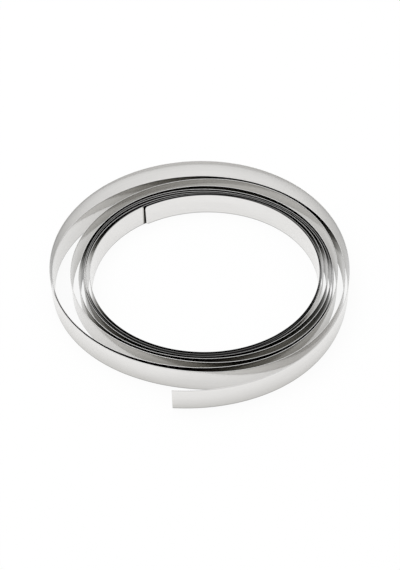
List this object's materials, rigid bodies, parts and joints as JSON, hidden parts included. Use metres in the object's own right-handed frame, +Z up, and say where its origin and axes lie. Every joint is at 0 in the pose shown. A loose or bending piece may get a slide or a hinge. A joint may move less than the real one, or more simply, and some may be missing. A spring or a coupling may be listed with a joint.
{
  "type": "nickel strip coil",
  "caption": "Flat nickel strip wound on edge into a loose open coil, with close inner laps, sprung outer laps and a free tail.",
  "frame": {"origin": "middle of the footprint, on the surface that the coil lies on", "axes": "+Z up across the strip's width, +Y towards the side where the outer lap bulges farthest, +X to the right"},
  "size_m": [0.099, 0.1104, 0.008],
  "materials": {
    "nickel": "bright rolled nickel with slit edges"
  },
  "bodies": {
    "root": {"strip": "nickel"}
  },
  "joints": []
}
